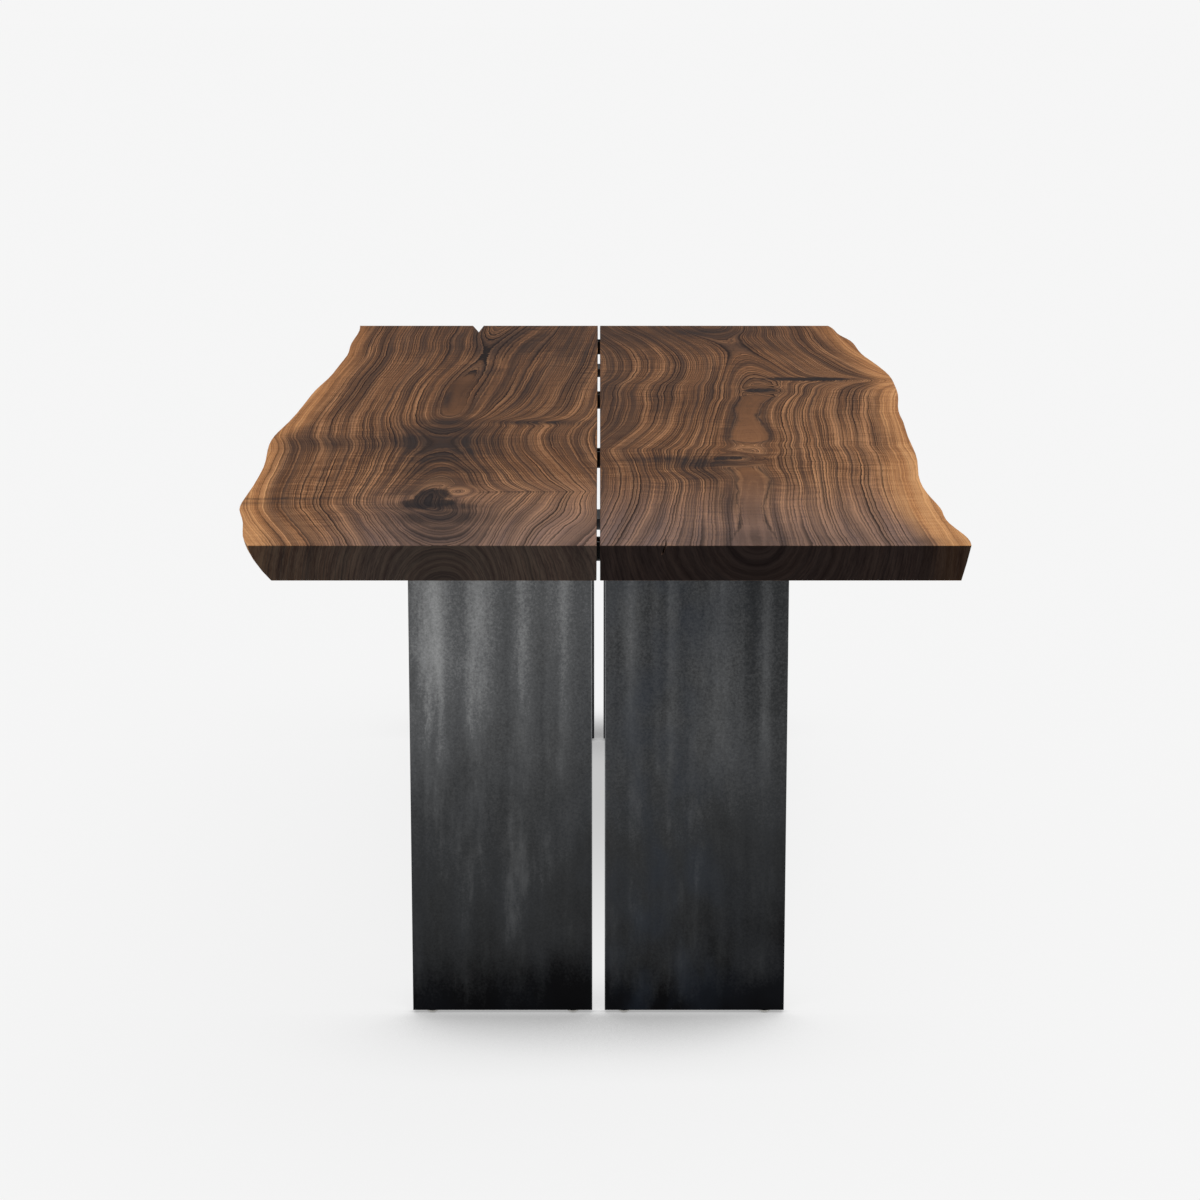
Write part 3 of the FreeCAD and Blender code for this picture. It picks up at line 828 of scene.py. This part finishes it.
# How much the noises push those zones, and how much higher the painted shade at the foot reaches left of
# the gap.
STREAK_RAGS = 0.012
UPPER_RAGS = 0.16
UPPER_CLOUDS = 0.14
FOOT_SHADE_CLOUDS = 0.12
FOOT_SHADE_LEFT_RISE = 0.03
SCUFF_UPRIGHTS = 0.7
SCUFF_CLOUDS = 0.9
SCUFF_RAGS = 0.5

# What each thing adds to the tone, which picks the colour of the steel.
PLATE_BASE = 0.14
# Painted shade: the tone rises with height, so the plates darken towards the floor.
PAINTED_SHADE_BY_HEIGHT = 0.61
CLOUD_TONE = 0.20
SMOKE_TONE = 0.18
UPRIGHT_TONE = 0.14
UPRIGHT_UPPER = 0.20
SCUFF_TONE = 0.11
SCUFF_RIGHT = 0.04
LOW_RIGHT_TONE = 0.06
STREAK_TONE = 0.36
STREAK_RAGGED = 0.3
RIGHT_TONE = 0.02
RIGHT_TOP_TONE = 0.18
# Painted shade at the foot of the plates, a little more on the right plates.
FOOT_SHADE_TONE = 0.14
FOOT_SHADE_RIGHT = 0.04
# Painted highlight on the inner edges.
EDGE_HIGHLIGHT_TONE = 0.30
MOTTLE_TONE = 0.22
MOTTLE_UPPER = 0.28
RAG_TONE = 0.10
RAG_SCUFFED = 0.10
STEEL_STOPS = (
    (0.02, (8, 8, 10)),
    (0.28, (56, 57, 58)),
    (0.55, (98, 99, 100)),
    (0.95, (172, 173, 173)),
)
BLUE_COLOUR = (44, 51, 62)
BLUE_SHARE = 0.08
BLUE_RIGHT = 0.42
STEEL_METALLIC = 0.9
STEEL_ROUGH = 0.46
MOTTLE_ROUGH = 0.20
SMOKE_ROUGH = 0.10
STEEL_BUMP = (0.15, 0.0004)


def blued_steel(name, lift):
    """Raw steel sheet, blued nearly black: pale upright streaks at the top, and painted shade towards the
    floor.
    """
    made, shader, start = material(name)
    x, y, z = place_of(start)[1:]
    cloud = swing(x, y, z, PLATE_CLOUDS)
    smoke = swing(x, y, z, PLATE_SMOKE)
    ragged = swing(x, y, z, PLATE_RAGS)
    upright = swing(x, y, z, PLATE_UPRIGHTS)
    mottle = swing(x, y, z, PLATE_MOTTLE)
    streaks = 0.0
    for centre, half, share in STREAKS_MM:
        off = (x + ragged * STREAK_RAGS - (centre + GAP_CENTRE_X_MM) * MM) / (half * MM)
        streaks = off.math("EXPONENT", off * off * -1.0) * share + streaks
    # The upper part of the plates, where the pale streaks and the livelier grain show.
    upper = (z + ragged * UPPER_RAGS + cloud * UPPER_CLOUDS).step(*UPPER_HEIGHTS)
    scuffed = (upright * SCUFF_UPRIGHTS + cloud * SCUFF_CLOUDS + ragged * SCUFF_RAGS).step(*SCUFF_NOISE)
    right = x.step(*RIGHT_X)
    # Painted shade along the bottom of the plates, reaching a little higher left of the gap.
    shade_left_rise = x.step(*FOOT_SHADE_LEFT_X) * (1 - right) * FOOT_SHADE_LEFT_RISE
    foot_shade = 1 - (z + cloud * FOOT_SHADE_CLOUDS - shade_left_rise).step(*FOOT_SHADE_HEIGHTS)
    # Painted highlight along the plates' inner edges by the gap.
    edge_highlight = 1 - (abs(x - GAP_CENTRE_X) - LEG_GAP_MM * MM / 2).step(*EDGE_HIGHLIGHT_WIDTHS)
    low_right = x.step(*LOW_RIGHT_X) * z.step(*LOW_RIGHT_RISE) * (1 - z.step(*LOW_RIGHT_FALL))
    # The height term is painted shade, darkening the plates towards the floor.
    tone = PLATE_BASE + lift + z * PAINTED_SHADE_BY_HEIGHT + cloud * CLOUD_TONE + smoke * SMOKE_TONE
    tone = tone + upright * (UPRIGHT_TONE + UPRIGHT_UPPER * upper)
    tone = tone + scuffed * (SCUFF_TONE - SCUFF_RIGHT * right) * (1 - upper) - low_right * LOW_RIGHT_TONE
    tone = tone + streaks * upper * (STREAK_TONE + ragged * STREAK_RAGGED)
    tone = tone - right * (RIGHT_TONE + z.step(*RIGHT_TOP_HEIGHTS) * RIGHT_TOP_TONE)
    tone = tone - foot_shade * (FOOT_SHADE_TONE + FOOT_SHADE_RIGHT * right) + edge_highlight * EDGE_HIGHLIGHT_TONE
    tone = tone + mottle * (MOTTLE_TONE + MOTTLE_UPPER * upper) + ragged * (RAG_TONE + RAG_SCUFFED * scuffed)
    blue = (smoke + 0.5).step(*BLUE_NOISE) * (BLUE_SHARE + BLUE_RIGHT * right * (1 - x.step(*BLUE_X)))
    feed(
        shader,
        Base_Color=tint(blue, ramp(tone, STEEL_STOPS), BLUE_COLOUR),
        Metallic=STEEL_METALLIC,
        Roughness=STEEL_ROUGH + MOTTLE_ROUGH * mottle + SMOKE_ROUGH * smoke,
        Normal=bump(mottle, *STEEL_BUMP),
    )
    return made


# Powder coat: scale and detail of its noises, colours, share, sheen and relief.
COAT_PEEL = (900.0, 2.0)
COAT_DUST = (14.0, 3.0)
COAT_DARK = (14, 14, 15)
COAT_LIGHT = (32, 32, 34)
COAT_SHARE = 0.6
COAT_ROUGH = 0.48
DUST_ROUGH = 0.12
COAT_BUMP = (0.2, 0.0003)


def black_coat(name):
    """Black powder coat: a fine orange-peel skin with a little dust-grey variation."""
    made, shader, start = material(name)
    point = place_of(start)[0]
    dust = noise(point, *COAT_DUST)
    feed(
        shader,
        Base_Color=tint(dust * COAT_SHARE, linear(*COAT_DARK), COAT_LIGHT),
        Roughness=COAT_ROUGH + DUST_ROUGH * dust,
        Normal=bump(noise(point, *COAT_PEEL), *COAT_BUMP),
    )
    return made


# Plating: turning lines a metre of height, with their detail, roughness and shift, then scale and detail of
# the tarnish, shares, sheen and relief.
TURNING_LINES = 4000.0
TURNING_NOISE = (2.0, 0.5, 0.0)
TARNISH = (120.0, 3.0)
TARNISH_SHARE = 0.7
TURNED_SHARE = 0.3
TARNISH_ROUGH = 0.15
PLATE_BUMP = (0.1, 0.0002)


def plated_metal(name, dark, light, rough, lay):
    """Bright plating over turned steel: fine turning lines by height and cloudy tarnish."""
    made, shader, start = material(name)
    point, x, y, z = place_of(start)
    turned = grain(x, y, z, ((lay, lay, TURNING_LINES), *TURNING_NOISE))
    tarnish = noise(point, *TARNISH)
    feed(
        shader,
        Base_Color=tint(tarnish * TARNISH_SHARE + turned * TURNED_SHARE, linear(*dark), light),
        Metallic=1.0,
        Roughness=rough + TARNISH_ROUGH * tarnish,
        Normal=bump(turned, *PLATE_BUMP),
    )
    return made


def dress(nodes, finish):
    """Puts one material on every slot of the named solids."""
    for name in nodes:
        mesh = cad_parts[name].data
        mesh.materials.clear()
        mesh.materials.append(finish)


def skin(name, points, node, finish):
    """A closed skin over rows of rings, standing for one CAD node.

    points gives x, y and z in mm, by copy, ring and place in the ring. A quad joins each pair of
    neighbouring places on neighbouring rings, and one flat face closes the first ring and the last.
    """
    copies, rings, sides, axes = points.shape
    number = np.arange(copies * rings * sides).reshape(copies, rings, sides)
    ahead = np.roll(number, -1, axis=2)
    quads = np.stack((number[:, :-1], number[:, 1:], ahead[:, 1:], ahead[:, :-1]), axis=-1).reshape(-1, 4)
    caps = np.concatenate((number[:, 0], number[:, -1, ::-1]))
    mesh = bpy.data.meshes.new(name)
    mesh.from_pydata((points.reshape(-1, axes) * MM).tolist(), [], quads.tolist() + caps.tolist())
    mesh.polygons.foreach_set("use_smooth", np.ones(len(mesh.polygons), dtype=bool))
    mesh.set_sharp_from_angle(angle=math.radians(SHARP_DEGREES))
    mesh.materials.append(finish)
    piece = bpy.data.objects.new(name, mesh)
    bpy.context.scene.collection.objects.link(piece)
    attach(piece, "table")
    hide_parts(node)


def socket_screws(name, node, places, length, finish):
    """Low-head screws with a hexagon socket, put in from below.

    Each ring is a circle, its radius times the cosine and sine of the angle, at one height of the profile.
    In the socket the radius is half the key size over the cosine of the angle from the middle of its flat.
    """
    angle = np.linspace(0.0, 2 * math.pi, SCREW_SIDES, endpoint=False)
    flat = KEY_SIZE_MM / 2 / np.cos(angle % (math.pi / 3) - math.pi / 6)
    circle = np.ones(SCREW_SIDES)
    radius = np.array([
        SCREW_TIP_RADIUS_MM * circle,
        SCREW_RADIUS_MM * circle,
        SCREW_RADIUS_MM * circle,
        HEAD_RADIUS_MM * circle,
        HEAD_RADIUS_MM * circle,
        (HEAD_RADIUS_MM - HEAD_BEVEL_MM * HEAD_BEVEL_START) * circle,
        (HEAD_RADIUS_MM - HEAD_BEVEL_MM) * circle,
        flat + SOCKET_BEVEL_MM,
        flat,
        flat,
        SOCKET_POINT_RADIUS_MM * circle,
    ])
    level = np.array([
        length,
        length - SCREW_TIP_LENGTH_MM,
        0.0,
        0.0,
        HEAD_BEVEL_MM - HEAD_HEIGHT_MM,
        HEAD_BEVEL_MM * HEAD_BEVEL_START - HEAD_HEIGHT_MM,
        -HEAD_HEIGHT_MM,
        -HEAD_HEIGHT_MM,
        SOCKET_BEVEL_MM - HEAD_HEIGHT_MM,
        SOCKET_DEPTH_MM - HEAD_HEIGHT_MM,
        SOCKET_DEPTH_MM + SOCKET_POINT_MM - HEAD_HEIGHT_MM,
    ])
    height = np.broadcast_to(level[:, None], radius.shape)
    one = np.stack((radius * np.cos(angle), radius * np.sin(angle), height + SCREW_SEAT_MM), axis=-1)
    centres = np.array([(x, y, 0.0) for x, y in places])
    skin(name, centres[:, None, None, :] + one, node, finish)


def weld_beads(name, node, finish):
    """Rippled fillet welds between the leg plates and the head plates.

    Each ring is the corner point and a quarter turn of points about it. Their radius lies between a
    straight bevel and a round, shrinks a little with a cosine along the seam, curved as the molten pool
    sets, and draws in at both ends of the run.
    """
    along = np.linspace(0.0, WELD_RUN_MM, WELD_STATIONS)[:, None]
    turn = np.linspace(0.0, math.pi / 2, WELD_POINTS)[None, :]
    swell = WELD_ROUND + (1 - WELD_ROUND) / (np.cos(turn) + np.sin(turn))
    pool = np.cos(2 * math.pi * (along / WELD_PITCH_MM + WELD_CURVE * np.sin(2 * turn)))
    drift = WELD_DRIFT * np.sin(along * 2 * math.pi / WELD_DRIFT_MM)
    from_end = np.minimum(along, WELD_RUN_MM - along) / WELD_LEG_MM
    taper = WELD_END + (1 - WELD_END) * np.sqrt(np.sin(np.minimum(from_end, 1.0) * math.pi / 2))
    radius = WELD_LEG_MM * swell * taper * (1 - WELD_RIPPLE * (1 + pool) / 2 + drift)
    out = np.concatenate((np.zeros_like(along), radius * np.cos(turn)), axis=1) - WELD_SUNK_MM
    down = np.concatenate((np.zeros_like(along), radius * np.sin(turn)), axis=1) - WELD_SUNK_MM
    run = np.broadcast_to(along, out.shape)
    seams = []
    for end in (-1, 1):
        for side in (-1, 1):
            middle = GAP_CENTRE_X_MM + side * (LEG_GAP_MM + LEG_WIDTH_MM) / 2
            for face in (-1, 1):
                root = end * LEG_Y_MM + face * LEG_THICKNESS_MM / 2
                x = middle - WELD_RUN_MM / 2 + run
                ring = np.stack((x, root + face * out, UNDERSIDE_MM - down), axis=-1)
                seams.append(ring[:, ::face])
    skin(name, np.array(seams), node, finish)


# Tone of the darker steel against the leg plates: painted shade under the top for the head plates, and a
# darker steel for the weld beads. Then the colours, roughness and lay of the platings.
HEAD_PLATE_SHADE = -0.36
WELD_LIFT = -0.14
ZINC = ((120, 122, 124), (176, 178, 180), 0.32, 40.0)
NICKEL = ((186, 184, 178), (230, 228, 222), 0.22, 20.0)

all_nodes = sorted(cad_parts)
dress(["left_slab"], walnut("walnut_left", LEFT_SLAB))
dress(["right_slab"], walnut("walnut_right", RIGHT_SLAB))
dress([n for n in all_nodes if n.endswith("leg_plate")], blued_steel("blued_steel", 0.0))
# The head plates and the CAD weld seams take a darker copy of the steel: painted shade under the top.
shaded_head_steel = blued_steel("shaded_head_steel", HEAD_PLATE_SHADE)
dress([n for n in all_nodes if n.endswith(("head_plate", "weld_seams"))], shaded_head_steel)
weld_beads("leg_weld_beads", "leg_weld_seams", blued_steel("weld_steel", WELD_LIFT))
dress([n for n in all_nodes if n.endswith("_channel")], black_coat("black_coat"))
zinc = plated_metal("zinc_plate", *ZINC)
dress([n for n in all_nodes if n.endswith(("_bolts", "_inserts"))], zinc)
head_screw_places = [
    (GAP_CENTRE_X_MM + x, end * LEG_Y_MM + y)
    for end in (-1, 1)
    for x in HEAD_SCREW_X_MM
    for y in HEAD_SCREW_Y_MM
]
channel_screw_places = [(x, y) for x in CHANNEL_SCREW_X_MM for y in CHANNEL_Y_MM]
socket_screws("head_plate_screws", "head_plate_bolts", head_screw_places, HEAD_SCREW_LENGTH_MM, zinc)
socket_screws("channel_screws", "channel_bolts", channel_screw_places, CHANNEL_SCREW_LENGTH_MM, zinc)
dress([n for n in all_nodes if n.endswith("_glide")], plated_metal("nickel_plate", *NICKEL))

# Floor: half its width, its colour to the camera and to bounced light, and its own glow.
FLOOR_HALF = 60.0
FLOOR_PALE = (0.92, 0.92, 0.92)
FLOOR_BOUNCE = (0.42, 0.42, 0.42)
FLOOR_ROUGH = 0.9
FLOOR_GLOW = 0.94
BLACK = (0.0, 0.0, 0.0)

# Shadow on the floor: how open the sky is beside and before the legs, and the shade under the top.
SKY_SAMPLES = 8
SKY_DISTANCE = 0.30
SKY_BESIDE = (0.10, 0.92)
SKY_BEFORE = (0.40, 1.02)
BEFORE_Y = (0.78, 0.83)
BEFORE_RIGHT_X = (0.05, 0.35)
BEFORE_RIGHT = 0.6
DARKEST = 0.42
UNDER_NARROW = -30.0
UNDER_RISE_Y = (-0.85, 0.45)
UNDER_FALL_Y = (0.85, 1.05)
UNDER_SHADE = 0.36

# Light, in degrees where a name says so, and the camera, which lies almost on the table's centre line.
WORLD_LIGHT = 0.5
WORLD_SHOWN = 0.42
SUN_ENERGY = 1.75
SUN_DEGREES = 60
SUN_TURN_DEGREES = (-22, 14, 0)
LENS_MM = 93.7
SENSOR_MM = 36.0
CAMERA_PLACE = (-0.0038, -5.1244, 1.508)
CAMERA_DOWN_DEGREES = 11.72


def ray_kinds(start, *kinds):
    """1 for a ray of one of the kinds, and 0 for any other."""
    return largest([start.node("ShaderNodeLightPath", {}, {}, f"Is {kind} Ray") for kind in kinds])


def make_floor():
    """A wide pale floor. Bounced light sees it darker, so that the light on the table stays plain."""
    half = FLOOR_HALF
    corners = [(-half, -half, 0.0), (half, -half, 0.0), (half, half, 0.0), (-half, half, 0.0)]
    mesh = bpy.data.meshes.new("floor")
    mesh.from_pydata(corners, [], [(0, 1, 2, 3)])
    made, shader, start = material("pale_floor")
    shown = ray_kinds(start, "Camera", "Glossy")
    feed(
        shader,
        Base_Color=mix(shown, FLOOR_BOUNCE, FLOOR_PALE),
        Roughness=FLOOR_ROUGH,
        Specular_IOR_Level=0.0,
    )
    x, y = place_of(start)[1:3]
    settings = {"samples": SKY_SAMPLES}
    sky = start.node("ShaderNodeAmbientOcclusion", settings, {"Distance": SKY_DISTANCE}, "AO")
    beside = sky.step(*SKY_BESIDE)
    before = sky.step(*SKY_BEFORE)
    outside = abs(y).step(*BEFORE_Y) * (1 - BEFORE_RIGHT * x.step(*BEFORE_RIGHT_X))
    clear = beside + (before - beside) * outside
    under = x.math("EXPONENT", x * x * UNDER_NARROW) * y.step(*UNDER_RISE_Y) * (1 - y.step(*UNDER_FALL_Y))
    lit = (DARKEST + (1 - DARKEST) * clear) * (1 - UNDER_SHADE * under)
    glow = start.node("ShaderNodeEmission", {}, {"Color": mix(lit, BLACK, FLOOR_PALE)})
    base = Wire(made.node_tree, shader.outputs[0])
    surface = start.node("ShaderNodeMixShader", {}, {"Fac": shown * FLOOR_GLOW, 1: base, 2: glow})
    feed(made.node_tree.nodes["Material Output"], Surface=surface)
    mesh.materials.append(made)
    floor = bpy.data.objects.new("floor", mesh)
    bpy.context.scene.collection.objects.link(floor)


def make_world():
    """Soft even light from all round; seen by the camera and in reflections it is the pale backdrop."""
    world = bpy.data.worlds.new("studio")
    world.use_nodes = True
    shown = ray_kinds(Wire(world.node_tree), "Camera", "Glossy", "Transmission")
    background = world.node_tree.nodes["Background"]
    feed(background, Color=(1.0, 1.0, 1.0, 1.0), Strength=WORLD_LIGHT + shown * WORLD_SHOWN)
    bpy.context.scene.world = world


def make_light():
    """One broad soft light, high up behind the table and a little to the right."""
    lamp = bpy.data.lights.new("overhead", "SUN")
    lamp.energy = SUN_ENERGY
    lamp.angle = math.radians(SUN_DEGREES)
    light = bpy.data.objects.new("overhead", lamp)
    light.rotation_euler = [math.radians(turn) for turn in SUN_TURN_DEGREES]
    bpy.context.scene.collection.objects.link(light)


def make_camera():
    """A long lens before the near end, about as high as the eyes of someone standing, and tipped down."""
    data = bpy.data.cameras.new("camera")
    data.lens = LENS_MM
    data.sensor_width = SENSOR_MM
    camera = bpy.data.objects.new("camera", data)
    camera.location = CAMERA_PLACE
    camera.rotation_euler = (math.radians(90 - CAMERA_DOWN_DEGREES), 0.0, 0.0)
    bpy.context.scene.collection.objects.link(camera)
    bpy.context.scene.camera = camera


make_floor()
make_world()
make_light()
make_camera()
bpy.context.scene.view_settings.view_transform = "Standard"
